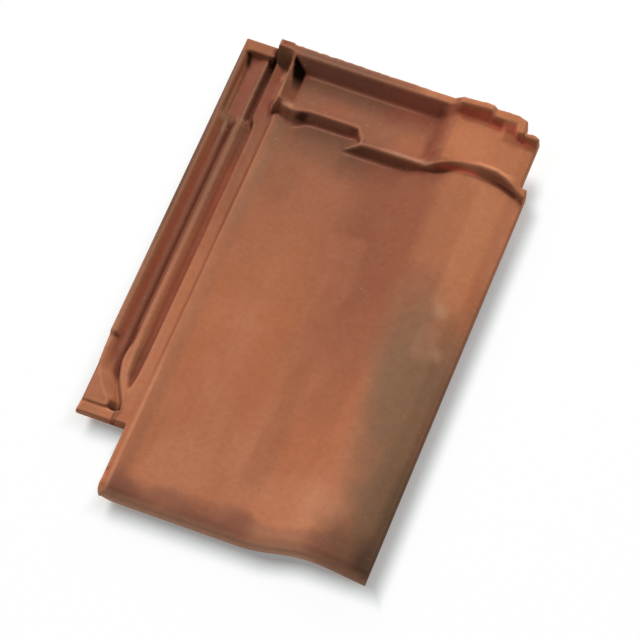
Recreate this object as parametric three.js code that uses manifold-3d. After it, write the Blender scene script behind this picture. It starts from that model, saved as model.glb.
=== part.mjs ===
// Pressed clay interlocking roof tile, fired in one piece.
// Millimetres. X runs across the tile from the side lock to the roll, Y from the foot to the
// head, Z up. The tile lies on its two nibs and its two stacking lugs, and Z = 0 is the floor.
import * as THREE from 'three';
import { ConvexGeometry } from 'three/addons/geometries/ConvexGeometry.js';
import { mergeVertices } from 'three/addons/utils/BufferGeometryUtils.js';
import Module from 'manifold-3d';

// overall sizes
const tileWidth = 275;        // outer edge of the side lock to the free edge
const tileLength = 443;       // foot edge to the head end of the side lock
const sheet = 12;             // thickness of the pressed sheet
const restHeight = 18;        // underside of the flat water course above the floor

// cross section of the body
const lockWidth = 45.5;       // side lock, outer face to the body
const marginRise = 2;         // small ridge along the body's left margin
const rollRise = 19;          // crest of the roll above the water course
const edgeRise = 9;           // free edge of the roll above the water course
const rollWidth = 108;        // from where the roll starts to rise, to the free edge
const crestInset = 47;        // crest of the roll to the free edge
const noseLength = 11;        // the foot is rounded over this length

// side lock, depths below its land
const landDrop = 2;           // land below the water course
const outerRibDrop = 1;
const innerRibDrop = 5;
const mainGrooveDrop = 12;
const sideGrooveDrop = 10;
const shelfDrop = 3;
const lockFloor = 7;          // clay left under the main groove
const lockFoot = 63.5;        // the lock starts this far up from the foot

// head
const barRise = 8;            // head floor above the water course
const barLip = 1;             // lip of the weather bars above the head floor
const headRollRise = 17;      // crest of the roll above the flat head floor
const headRibRise = 13;       // head rib above the head floor
const rollRibRise = 11.5;     // head rib over the roll, above the head floor there
const lowRibRise = 8.5;       // and past the crest
const cornerRibRise = 6.5;    // rib across the set-back corner
const bankRise = 8;           // bank at the left end of the head channel
const bodyHeadInset = 3;      // the body ends this far short of the lock's head
const headEdgeInset = 5.5;    // free edge of the head, from the free edge of the body
const rimInset = 32.3;        // left end of the head rib, from the lock's outer face

// underside
const nibWidth = 32;
const nibDepth = 18;
const nibFace = 35;           // bearing face of the nibs to the head
const lugSize = 16;
const lugFace = 72;           // stacking lugs to the foot
const footRibDrop = 9;        // foot rib below the underside
const footRibWidth = 7;
const footRibInset = 15;
const coverRibTip = 4;        // ribs that enter the next tile's grooves
const coverRibClear = 2.5;

const fieldTop = restHeight + sheet;
const headTop = fieldTop + barRise;
const land = fieldTop - landDrop;
const rightEdge = tileWidth;
const crestX = tileWidth - crestInset;
const rollX = tileWidth - rollWidth;
const bodyX = lockWidth;
const head = tileLength;
const bodyHead = head - bodyHeadInset;
const bodyEnd = head - 59.5;
const edgeEnd = head - 66;

// smooth step from 0 to 1 between a and b
function ease(a, b, t) {
  const u = Math.min(1, Math.max(0, (t - a) / (b - a)));
  return 0.5 - 0.5 * Math.cos(Math.PI * u);
}

// straight interpolation through knots: the first entry is the position, the rest are values
function at(knots, t) {
  let i = 1;
  while (i < knots.length - 1 && t > knots[i][0]) i += 1;
  const a = knots[i - 1];
  const b = knots[i];
  const u = Math.min(1, Math.max(0, (t - a[0]) / (b[0] - a[0])));
  return a.slice(1).map((v, k) => v + (b[k + 1] - v) * u);
}

// far side of the roll, falling from the crest to the free edge
function farSide(crest, x) {
  const low = edgeRise - 1.2;
  return low + (crest - low) * (1 - ease(crestX, rightEdge + 14, x));
}

// height of the body's upper face above the water course
function fieldRise(x) {
  if (x > crestX) return farSide(rollRise, x);
  const margin = marginRise * (1 - ease(bodyX + 7, bodyX + 21, x));
  return rollRise * ease(rollX, crestX, x) + margin;
}

// height of the underside above its flat part
function underRise(x) {
  return x > bodyX + 40 ? fieldRise(x) : 0;
}

// height of the head floor above its flat part: a steep flank, then the low dome of the roll
function headRise(x) {
  if (x > crestX) return farSide(headRollRise, x);
  const flank = ease(rightEdge - 94, rightEdge - 77, x);
  return (headRollRise - 2) * flank + 2 * ease(rightEdge - 80, crestX, x);
}

// closed solid through rings of equal length; u and v are the axes that each ring lies in
function loft(rings, u, v) {
  const n = rings[0].length;
  const pos = rings.flat(2);
  const idx = [];
  for (let r = 0; r + 1 < rings.length; r++) {
    for (let i = 0; i < n; i++) {
      const a = r * n + i;
      const b = r * n + ((i + 1) % n);
      idx.push(a, b, b + n, a, b + n, a + n);
    }
  }
  for (const [start, side] of [[0, -1], [(rings.length - 1) * n, 1]]) {
    const outline = rings[start / n].map((p) => new THREE.Vector2(p[u], p[v]));
    const turn = Math.sign(THREE.ShapeUtils.area(outline)) * side;
    for (const [a, b, c] of THREE.ShapeUtils.triangulateShape(outline, [])) {
      const same = THREE.ShapeUtils.area([outline[a], outline[b], outline[c]]) * turn > 0;
      const tri = same ? [a, b, c] : [a, c, b];
      idx.push(...tri.map((k) => start + k));
    }
  }
  const geo = new THREE.BufferGeometry();
  geo.setAttribute('position', new THREE.Float32BufferAttribute(pos, 3));
  geo.setIndex(idx);
  return geo;
}

const wasm = await Module();
wasm.setup();

// six times the volume that a closed mesh encloses, negative when its faces point inwards
function signedVolume(geo) {
  const p = geo.attributes.position;
  const v = [0, 1, 2].map(() => new THREE.Vector3());
  let sum = 0;
  for (let i = 0; i < geo.index.count; i += 3) {
    v.forEach((q, k) => q.fromBufferAttribute(p, geo.index.getX(i + k)));
    sum += v[0].dot(v[1].cross(v[2]));
  }
  return sum;
}

function solid(geometry) {
  let geo = geometry.clone();
  geo.deleteAttribute('normal');
  geo.deleteAttribute('uv');
  geo = mergeVertices(geo, 1e-4);
  const triVerts = Uint32Array.from(geo.index.array);
  if (signedVolume(geo) < 0) triVerts.reverse();
  const vertProperties = Float32Array.from(geo.attributes.position.array);
  return new wasm.Manifold(new wasm.Mesh({ numProp: 3, vertProperties, triVerts }));
}

// drafted block standing down from a root; its foot-facing side stays upright
function lug(x0, x1, y0, y1, tip, root, draft) {
  const pts = [];
  for (const [z, d] of [[tip, 0], [root, draft]]) {
    for (const x of [x0 - d, x1 + d]) {
      for (const y of [y0, y1 + d]) pts.push(new THREE.Vector3(x, y, z));
    }
  }
  return solid(new ConvexGeometry(pts));
}

// BODY: margin, flat water course and roll in one section, drawn from the foot up under the
// head floor. Its foot is a rounded nose, and its free edge ends shorter, beside the head.
function bodySection(y, drop, lift, inset) {
  const xs = [bodyX + 5, bodyX + 7, bodyX + 13, bodyX + 21];
  const steps = 12;
  for (let i = 0; i < steps; i++) xs.push(rollX + ((rollWidth - 9) * i) / (steps - 1));
  xs.push(rightEdge - headEdgeInset - 1, rightEdge - headEdgeInset, rightEdge);
  const end = (x) => (x >= rightEdge - headEdgeInset ? Math.min(y, edgeEnd) : y);
  const top = xs.map((x) => [x, end(x), fieldTop + fieldRise(x) - drop]);
  const low = xs.map((x) => [x, end(x), restHeight + underRise(x) + lift]).reverse();
  const left = [
    [bodyX - 0.6 + inset, y, restHeight + lift],
    [bodyX - 0.6 + inset, y, land - 0.3 - 0.5 * drop],
    [bodyX + 2.4 + 0.6 * inset, y, land + 0.8 - 0.8 * drop],
  ];
  return [...top, ...low, ...left];
}
const nose = [[0, 8.2, 1, 3.2], [0.05, 6, 0.4, 2.4], [0.18, 3.8, 0, 1.4], [0.4, 1.8, 0, 0.5],
  [0.7, 0.5, 0, 0], [1, 0, 0, 0]];
const body = solid(loft([
  ...nose.map(([t, drop, lift, inset]) => bodySection(noseLength * t, drop, lift, inset)),
  bodySection(bodyEnd, 0, 0, 0),
], 0, 2));

// SIDE LOCK: its lines run along the tile, each knot being [y, x, height over the land].
// From the left: outer edge, rib top, bank top, bank, foot of the bank, main groove's left and
// right, inner rib's left and right, side groove's left and right, edge of the land.
const f = lockFoot;
const h = head;
const rib = -innerRibDrop;
const groove = -mainGrooveDrop;
const side = -sideGrooveDrop;
const shelf = -shelfDrop;
const outer = -outerRibDrop;
const lockLines = [
  [[f, 1.2, shelf - 0.4], [f + 10, 2, shelf], [f + 10.8, 2.2, -2.4], [f + 44, 2.3, -2.2],
    [f + 61, 0.8, -3], [f + 74.5, 0.2, -3.6], [f + 76, 0, outer]],
  [[f, 6, shelf], [f + 10, 6, shelf], [f + 10.8, 9, -1.9], [f + 27, 6.5, -1.6],
    [f + 44, 3.2, -1.7], [f + 61, 1.8, -2.8], [f + 74.5, 2, -3.6], [f + 76, 2.1, outer]],
  [[f, 18, shelf], [f + 10, 18, shelf], [f + 10.8, 23, -1.6], [f + 14.5, 23.8, -1.4],
    [f + 19, 20.3, -0.6], [f + 26.5, 13.6, -0.7], [f + 35, 8.2, -0.8], [f + 44, 4.3, -1.6],
    [f + 61, 3.2, -2.8], [f + 74.5, 4.1, -3.6], [f + 76, 4.1, outer], [h - 80, 4.1, outer],
    [h - 73, 3.4, outer]],
  [[f, 22, shelf], [f + 10, 22, shelf], [f + 10.8, 26, -6], [f + 19, 25.5, -6],
    [f + 26.5, 20.5, -6], [f + 35, 15.6, -6], [f + 44, 11.4, -7], [f + 61, 9.6, -8.3],
    [f + 74.5, 10.1, -9], [h - 80, 10.1, -9], [h - 73, 6.8, -4.6]],
  [[f, 25, shelf], [f + 10, 25, shelf], [f + 10.8, 28, -9], [f + 19, 28.6, -9.4],
    [f + 26.5, 25.4, -10.4], [f + 35, 21, -10.8], [f + 44, 17.6, -11.2], [f + 61, 13.6, -11.4],
    [f + 74.5, 13.1, -11], [h - 80, 13.1, -11], [h - 73, 10.3, -7.5]],
  [[f, 27, shelf], [f + 10, 27, shelf], [f + 10.8, 29, -9.6], [f + 19, 29.8, -10.2],
    [f + 26.5, 26.4, -11.2], [f + 35, 22, -11.6], [f + 44, 18.8, groove], [f + 54, 16, groove],
    [f + 61, 15, groove], [f + 76, 15.4, groove], [f + 96, 13.9, groove],
    [h - 80, 13.9, groove], [h - 73, 12.5, -7.5]],
  [[f, 29.5, shelf], [f + 10, 29.5, shelf], [f + 10.8, 33.4, -9.6], [f + 19, 31.6, -10.2],
    [f + 26.5, 28, -11.2], [f + 35, 23.8, -11.6], [f + 44, 20.4, groove], [f + 54, 17.7, groove],
    [f + 61, 17, groove], [f + 76, 17.8, groove], [f + 96, 16.3, groove],
    [h - 80, 16.3, groove], [h - 73, 17, -7.5]],
  [[f, 32.2, shelf], [f + 10, 32.2, shelf], [f + 10.8, 36.4, -0.2], [f + 19, 33.3, -0.4],
    [f + 26.5, 29.4, -1.8], [f + 35, 25.2, -2.8], [f + 45, 21.7, -3.6], [f + 54, 19.3, -4.2],
    [f + 61, 19.2, -4.5], [f + 76, 21.5, rib], [h - 80, 21.5, rib], [h - 73, 19.5, -6.4]],
  [[f, 33.1, -0.4], [f + 10, 33.1, -0.4], [f + 10.8, 37, 0], [f + 19, 34.3, 0],
    [f + 26.5, 33.2, -0.5], [f + 35, 31.4, -1.6], [f + 44, 28.2, -3], [f + 61, 26, -4.4],
    [f + 91, 24.5, rib], [h - 80, 24.5, rib], [h - 73, 23.8, -5.5]],
  [[f, 34, 0], [f + 10, 34, 0], [f + 10.8, 37.4, 0], [f + 19, 35, 0], [f + 26.5, 33.6, -0.4],
    [f + 35, 32.4, -2.6], [f + 44, 31.6, -6.5], [f + 61, 31.3, side + 0.4],
    [f + 91, 31.3, side], [h - 80, 31.3, side], [h - 73, 27.3, groove]],
  [[f, 35, 0], [f + 10, 35, 0], [f + 10.8, 37.8, 0], [f + 19, 35.6, 0], [f + 26.5, 34.1, -0.3],
    [f + 35, 34, -2.6], [f + 44, 35.2, -6.5], [f + 61, 35.8, side + 0.4], [f + 91, 35.9, side],
    [h - 80, 35.9, side], [h - 73, 31.2, groove]],
  [[f, 36, 0], [f + 10, 36, 0], [f + 10.8, 38.2, 0], [f + 19, 36.4, 0], [f + 26.5, 34.8, 0],
    [f + 35, 35.5, 0], [f + 44, 37.2, 0], [h - 87, 36.9, 0], [h - 73, 32.3, 0]],
];
const lockUnder = land - mainGrooveDrop - lockFloor;
const underLine = [[f, land - 12], [f + 10, land - 12], [f + 34, lockUnder]];
const padTop = land + outer;
const padLine = [[h - 13, 0], [h - 10.7, 1]];

// the grooves end in a flat pad at the head
function lockSection(y) {
  const [under] = at(underLine, y);
  const [pad] = at(padLine, y);
  const round = y > h - 1 ? 1.5 : 0;
  const top = lockLines.map((line) => {
    const [x, z] = at(line, y);
    return [x, y, (land + z) * (1 - pad) + padTop * pad - round];
  });
  const [x0, , z0] = top[0];
  top[0] = [x0 + 0.8, y, z0];
  return [
    [x0, y, z0 - 2],
    ...top,
    [bodyX + 1, y, (top[top.length - 1][2] + land) / 2],
    [bodyX + 1, y, under],
    [x0 + 2, y, under],
    [x0, y, under + 2],
  ];
}
const lockStations = [f, f + 10, f + 10.8, f + 14.5, f + 19, f + 26.5, f + 35, f + 44, f + 54,
  f + 61, f + 74.5, f + 76, f + 91, f + 96, h - 87, h - 80, h - 73, h - 13, h - 10.7, h - 1, h];
const lock = solid(loft(lockStations.map(lockSection), 0, 2));

// HEAD: weather bars, head floor and head rib are one section along the tile, drawn across it.
// The flat part's lines are placed from the lock, the roll's from the free edge.
const flat = rollX - bodyX;
const gapX = bodyX + 0.574 * flat;    // the drain gap between the two weather bars
const gapMid = bodyX + 0.636 * flat;
const gapEnd = bodyX + 0.681 * flat;
const r = rightEdge;
const flankX = r - 85;        // the head rib climbs the roll's flank from here
const flankEnd = r - 76;
const step = -barRise;

// each knot is [x, y, height over the flat head floor], from the lock to the free edge
const rollBarFoot = [[gapX - 0.5, h - 64], [gapX, h - 77.9], [r - 115, h - 78.2],
  [r - 99, h - 77.2], [r - 86, h - 74.2], [r - 73, h - 72], [r - 54, h - 71.5],
  [r - 37, h - 71.5], [r - 23, h - 72.3], [r - 14, h - 74.2], [r, h - 77.4]];
const rollBarEdge = [[gapX - 0.5, h - 63.6, step - 2], [gapX, h - 77.4, step],
  [gapEnd, h - 72.2, 0.4], [gapEnd + 6, h - 70.8, 1], [r - 92, h - 71, 1], [r - 87, h - 72, 1.6],
  [r - 81, h - 72, 4.4], [r - 76, h - 70.4, 8.4], [r - 71, h - 68.8, 11.6],
  [r - 65, h - 67.3, 14.2], [r - 59, h - 66.1, 16.2], [r - 43, h - 64.3, 18.4],
  [r - 28, h - 64, 17.6], [r - 19, h - 65.8, 14.8], [r - 12, h - 67.9, 12.3],
  [r - 8.5, h - 69.5, 10.2], [r - 5, h - 71, 8.6], [r, h - 73, 7]];
const lockBarFoot = [[rimInset, h - 36], [bodyX + 1, h - 65], [bodyX + 4, h - 62.8],
  [bodyX + 14, h - 68.4], [bodyX + 20.5, h - 69.8], [bodyX + 27, h - 68.3],
  [bodyX + 32, h - 64.9], [bodyX + 38, h - 63.2], [gapMid, h - 63.3], [gapEnd, h - 65.5]];
const lockBarEdge = [[rimInset, h - 33, step - 4], [bodyX - 4, h - 50, step - 4],
  [bodyX + 1, h - 62.4, 0], [bodyX + 2.7, h - 61.2, 4], [bodyX + 7, h - 58.6, 4],
  [bodyX + 12, h - 60.1, 3], [bodyX + 19, h - 59.9, 1.5], [bodyX + 26, h - 58.4, 1],
  [bodyX + 33, h - 56.6, 1], [gapX, h - 56.4, 1], [gapMid, h - 56.4, 0.6], [gapEnd, h - 63.4, 0.4]];
const lipEnd = [[rimInset, h - 30], [bodyX + 1, h - 56], [bodyX + 9.5, h - 55.3],
  [bodyX + 17, h - 51.5], [bodyX + 26, h - 54], [gapMid, h - 54], [gapEnd, h - 61.5],
  [r - 94, h - 62], [r - 84, h - 54], [r - 72, h - 53], [r - 60, h - 59], [r, h - 61]];
const floorEnd = [[rimInset, h - 16.2], [bodyX, h - 17], [bodyX + 17, h - 23.4],
  [r - 95, h - 24.2], [flankEnd, h - 23.4], [r - 60, h - 26.4], [r - 38, h - 27],
  [r - 34.5, h - 36.4], [r - 22, h - 35.4], [r, h - 30]];
const cove = [[rimInset, h - 15.6, 1], [bodyX, h - 16.4, 1], [bodyX + 17, h - 22.6, 0.6],
  [r - 95, h - 22.8, 0.6], [flankEnd, h - 21, 1], [r - 38, h - 23.4, 1], [r - 34.5, h - 27.4, 2.4],
  [r - 25, h - 26.2, 2.4], [r - 23, h - 29.2, 2], [r, h - 26, 2]];
const ribInner = [[rimInset, h - 11.4], [bodyX, h - 12], [bodyX + 6, h - 13.4],
  [flankX, h - 13.4], [flankEnd, h - 16.4], [r - 49, h - 15.6], [r - 46, h - 18.4],
  [r - 26, h - 17.4], [r - 24, h - 25.8], [r - 6, h - 22.9]];
const ribOuter = [[rimInset, h - 5.4], [flankX, h - 6.8], [flankEnd, h - 11], [r - 50, h - 10.6],
  [r - 46, h - 11.8], [r - 26, h - 10.2], [r - 18.8, h - 11.8], [r - 17.4, h - 22],
  [r - 11, h - 20], [r - 6, h - 20.6]];
const ribLift = [[rimInset, headRibRise], [flankX, headRibRise], [flankEnd, rollRibRise],
  [r - 49, rollRibRise], [r - 46, lowRibRise], [r - 18.8, lowRibRise], [r - 17.4, cornerRibRise],
  [r - 6, cornerRibRise - 1]];
const bank = [[rimInset, step - 4], [bodyX - 4, step - 4], [bodyX + 3.6, bankRise],
  [bodyX + 4.6, bankRise], [bodyX + 17, 0], [r - 14, 0], [r - 5, -2]];

function headSection(x) {
  const rise = x > gapEnd ? headRise(x) : 0;
  const over = at(bank, x)[0];
  const floor = headTop + rise + over;
  const deep = (x > bodyX + 3 ? fieldTop + fieldRise(x) : land) - 1;
  const [y0] = at(rollBarFoot, x);
  const [y1, z1] = at(rollBarEdge, x);
  const [y2] = at(lockBarFoot, x);
  const [y3, z3] = at(lockBarEdge, x);
  const [y4] = at(lipEnd, x);
  const [yc, zc] = at(cove, x);
  const [yi] = at(ribInner, x);
  const [yo] = at(ribOuter, x);
  const climb = (headRollRise - 2) * Math.min(1, Math.max(0, (x - flankX) / (flankEnd - flankX)));
  const top = headTop + (x < flankEnd ? climb : rise) + at(ribLift, x)[0];
  const under = x > bodyX + 2 ? headTop - sheet + rise + Math.min(0, over) : lockUnder + 4;
  const back = Math.min(bodyHead, yo + 3);
  let bars;
  if (x < gapX) {
    bars = [[x, y2 - 0.6, deep - 1], [x, y2 - 0.3, deep], [x, y2, deep], [x, y3, headTop + z3]];
  } else if (x <= gapEnd) {
    const ramp = headTop + z1;
    bars = [[x, y0, deep], [x, y1, ramp], [x, y2, ramp], [x, y3, headTop + z3]];
  } else {
    const lip = headTop + z1;
    const inner = Math.min(floor, lip + 0.2);
    bars = [[x, y0, deep], [x, y1, lip], [x, y1 + 1.8, lip], [x, y1 + 4, inner]];
  }
  return [
    [x, bars[0][1] - 0.5, Math.min(under, deep - 2)],
    ...bars,
    [x, y4, floor],
    [x, at(floorEnd, x)[0], floor],
    [x, yc, floor + zc],
    [x, yi, top],
    [x, yo - 0.8, top],
    [x, yo, top - 1],
    [x, back, under + 1.5],
    [x, back - 1.5, under],
    [x, Math.max(bodyEnd, bars[0][1] + 4), under],
  ];
}
const headStations = [rimInset, bodyX - 4, bodyX + 1, bodyX + 2.7, bodyX + 3.6, bodyX + 4.6,
  bodyX + 7, bodyX + 9.5, bodyX + 12, bodyX + 14, bodyX + 17, bodyX + 20.5, bodyX + 26,
  bodyX + 29.5, bodyX + 33, bodyX + 38, gapX - 0.5, gapX, gapMid, gapEnd, gapEnd + 6, r - 115,
  r - 99, r - 95, r - 92, r - 87, r - 85, r - 83, r - 81, r - 78.5, r - 76, r - 71, r - 65, r - 59,
  r - 54, r - 50, r - 46, r - 43, r - 38, r - 34.5, r - 28, r - 26, r - 24, r - 22, r - 18.8,
  r - 17.4, r - 14, r - 11, r - 8.5, r - headEdgeInset];
const headBlock = solid(loft(headStations.map(headSection), 1, 2));

// the roll's weather bar runs on to the free edge
const barEnd = solid(loft([[r - 10, 1], [r - 5, 0], [r, 0]].map(([x, sunk]) => {
  const [y1, z1] = at(rollBarEdge, x);
  const deep = fieldTop + fieldRise(x) - 1 - sunk;
  const lip = headTop + z1 - sunk;
  const y0 = at(rollBarFoot, x)[0] + sunk;
  return [[x, y0, deep], [x, y1 + sunk, lip], [x, edgeEnd - 1, lip], [x, edgeEnd, deep]];
}), 1, 2));

// UNDERSIDE: nibs that hang on the batten, stacking lugs, foot rib and cover ribs
const under = restHeight + barRise;
const nibs = [bodyX + 31, r - 126].map((x) =>
  lug(x, x + nibWidth, head - nibFace, head - nibFace + nibDepth, 0, under + 2, 2.5));
const lugs = [bodyX + 18, rollX - lugSize].map((x) =>
  lug(x, x + lugSize, lugFace, lugFace + lugSize, 0, restHeight + 2, 2.5));

function footRibSection(x) {
  const tip = restHeight - footRibDrop + underRise(x);
  const root = restHeight + 2 + underRise(x);
  const y = footRibInset;
  return [
    [x, y, tip],
    [x, y + footRibWidth, tip],
    [x, y + footRibWidth + 2, root],
    [x, y - 2, root],
  ];
}
const ribStations = [bodyX + 20, rollX];
for (let i = 1; i <= 9; i++) ribStations.push(rollX + (i * (rollWidth - 13)) / 9);
const footRib = solid(loft(ribStations.map(footRibSection), 1, 2));

// the next tile's lock lies under this edge: its main groove at one cover rib, its side groove
// at the other
const cover = tileWidth - lockWidth;
const mainRib = [cover + 12.6, land - mainGrooveDrop + coverRibClear + 1];
const sideRib = [cover + 31.4, land - sideGrooveDrop + coverRibClear];
const coverRibs = [mainRib, sideRib].map(([x, tip]) =>
  lug(x, x + coverRibTip, footRibInset + 9, bodyEnd - 12, tip, restHeight + underRise(x + 4) + 2, 1.5));

let tile = body.add(lock).add(headBlock).add(barEnd).add(footRib);
for (const piece of [...nibs, ...lugs, ...coverRibs]) tile = tile.add(piece);

// the foot corner beside the lock is pared off underneath, clear of the tile below
const paring = [[-4, -3, -3], [27, -3, -3], [-4, -3, 6.5], [4, -3, 5], [11, -3, 1.2], [-4, 18, -3],
  [3, 18, -3]];
tile = tile.subtract(solid(new ConvexGeometry(
  paring.map(([x, y, z]) => new THREE.Vector3(bodyX + x, y, restHeight + z)))));
tile = tile.translate([-tileWidth / 2, -tileLength / 2, 0]).simplify(0.03);

const out = tile.getMesh();
const geometry = new THREE.BufferGeometry();
geometry.setAttribute('position', new THREE.BufferAttribute(out.vertProperties, 3));
geometry.setIndex(new THREE.BufferAttribute(out.triVerts, 1));
const faceted = geometry.toNonIndexed();
faceted.computeVertexNormals();

const clay = new THREE.MeshStandardMaterial({ color: 0xb0704e, roughness: 0.85 });
const mesh = new THREE.Mesh(faceted, clay);
mesh.name = 'tile';
const group = new THREE.Group();
group.add(mesh);

export default group;
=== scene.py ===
import math
import bpy
import numpy as np
from mathutils import Matrix, Vector


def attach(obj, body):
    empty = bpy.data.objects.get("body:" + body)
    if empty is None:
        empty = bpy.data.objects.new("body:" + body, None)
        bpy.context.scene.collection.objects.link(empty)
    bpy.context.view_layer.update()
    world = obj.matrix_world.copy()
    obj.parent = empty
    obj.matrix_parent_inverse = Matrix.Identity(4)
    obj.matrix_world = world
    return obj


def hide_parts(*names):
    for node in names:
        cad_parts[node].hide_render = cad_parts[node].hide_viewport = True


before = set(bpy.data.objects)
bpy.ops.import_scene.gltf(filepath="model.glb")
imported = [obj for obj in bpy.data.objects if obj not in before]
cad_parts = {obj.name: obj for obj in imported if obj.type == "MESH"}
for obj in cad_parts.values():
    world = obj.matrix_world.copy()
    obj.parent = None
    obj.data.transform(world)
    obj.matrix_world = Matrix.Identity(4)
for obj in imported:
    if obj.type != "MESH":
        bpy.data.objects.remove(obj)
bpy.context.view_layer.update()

# THE TILE. One slab of red clay, squeezed between two plaster moulds and fired. Pressing leaves
# soft edges, draft on every recess and a faintly uneven sheet. It lies loose on its nibs and lugs.
# Its sizes are in millimetres: x from the outside of the side lock, y from the foot, z from the floor.
wide, long = 275.0, 443.0
sheet, rest = 12.0, 18.0                    # thickness of the sheet, and how high it lies
water = rest + sheet                        # upper face of the flat water course
deck = water + 8.0                          # head floor
land = water - 2.0                          # upper face of the side lock's lands
lock_foot, lock_right, lock_under = 63.5, 46.5, 9.0
body_left, body_end = 44.9, long - 59.5
notch_from, edge_end = 269.5, long - 66.0   # the notch at the head end of the free edge
margin_to, margin_high = 52.5, 2.0
roll_from, crest = 167.0, 228.0
roll_high, dome_high, flank_high = 19.0, 17.0, 15.0
edge_high, edge_past = 7.8, 14.0            # the roll falls to this height, so far past the free edge
gap_from, gap_to = 115.2, 128.2             # the drain gap between the weather bars
flank_from, flank_to = 190.0, 199.0
rim_from = 32.3                             # left side of the head, over the lock
edge_soft = 3.2                             # how far an edge is pressed down before it is softened
upper_soft, lower_soft = 0.65, 0.85         # how far each face is softened
thinnest = 1.5                              # of the slab, at its rims

step, spare = 0.5, 4.0                      # spacing of the height fields, and how far they pass the tile
gx = np.arange(-spare, wide + spare + step / 2, step)
gy = np.arange(-spare, long + spare + step / 2, step)
X, Y = gx[:, None], gy[None, :]


def ease(a, b, t):
    """Half a cosine wave that climbs from 0 at a to 1 at b."""
    return 0.5 - 0.5 * np.cos(np.pi * np.clip((t - a) / (b - a), 0, 1))


def window(t, a, b, c, d):
    """A mask that comes in from a to b and goes out from c to d."""
    return ease(a, b, t) * (1 - ease(c, d, t))


def stroke(distance, width):
    """A soft line: a bell curve over the distance from its middle."""
    return np.exp(-(distance / width) ** 2)


def knots(table, t, column=1):
    """Straight lines through the knots of a table, whose first column is the place."""
    table = np.array(table, float)
    return np.interp(t, table[:, 0], table[:, column])


def ladder(across, lines):
    """Height over a row of lines: straight from each line to the next, and level beyond the outer ones."""
    least_run = 0.05
    height = lines[0][1] + 0 * across
    for (p, z), (q, w) in zip(lines, lines[1:]):
        height = height + (w - z) * np.clip((across - p) / np.maximum(q - p, least_run), 0, 1)
    return height


def soften(field, size):
    """Blurs a field with a bell curve of that size, which rounds every line of the mould."""
    for axis, g in ((0, gx), (1, gy)):
        w = np.exp(-0.5 * ((g[:, None] - g[None, :]) / size) ** 2)
        w /= w.sum(axis=1, keepdims=True)
        field = np.moveaxis(np.tensordot(w, field, axes=(1, axis)), 0, axis)
    return field


def sample(field, x, y):
    """Reads a field between its points, straight in both directions."""
    i = np.clip((x - gx[0]) / step, 0, len(gx) - 1.001)
    j = np.clip((y - gy[0]) / step, 0, len(gy) - 1.001)
    a, b = i.astype(int), j.astype(int)
    u, v = i - a, j - b
    low = field[a, b] * (1 - u) + field[a + 1, b] * u
    high = field[a, b + 1] * (1 - u) + field[a + 1, b + 1] * u
    return low * (1 - v) + high * v


def roll(x, top):
    """Fall of the roll from its crest to the free edge: half a cosine wave that ends past the edge."""
    return edge_high + (top - edge_high) * (1 - ease(crest, wide + edge_past, x))


def field_rise(x):
    """Roll of the water course: half a cosine wave up to its crest, then its fall."""
    return np.where(x > crest, roll(x, roll_high), roll_high * ease(roll_from, crest, x))


def head_rise(x):
    """Roll of the head floor: a steep flank at its left, then a low dome and its fall."""
    flank = flank_high * ease(181, 198, x) + (dome_high - flank_high) * ease(195, crest, x)
    return np.where(x > crest, roll(x, dome_high), flank)


# water course: a small ridge with a nick along its left margin, a low ledge below the left weather
# bar, and a rounded nose at the foot
nose_high, nose_long = 8.2, 11.0
nose = nose_high - nose_high * np.sqrt(1 - np.clip(1 - Y / nose_long, 0, 1) ** 2)
margin = knots([[body_left, land - 0.3], [47.9, land + 0.8], [50.5, water + margin_high],
                [margin_to, water + margin_high]], X)
nick = stroke(X - 47.5, 2.6) * window(Y, 12.5, 15.5, 17, 32)
margin = margin + 0.9 * (1 - ease(9, 16, Y)) * (1 - ease(46, 50.5, X)) - 1.3 * nick
ledge_foot = knots([[50, 378], [54, 375], [60, 372.6], [66, 371.4], [69, 375], [70, 380]], X)
ledge = 0.9 * np.clip((Y - ledge_foot) / 0.6, 0, 1) * (X > 50) * (X < 70)
course_top = water + field_rise(X) + margin_high * (1 - ease(margin_to, 66.5, X)) + ledge
body = np.where(X < margin_to, margin, course_top) - nose

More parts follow.
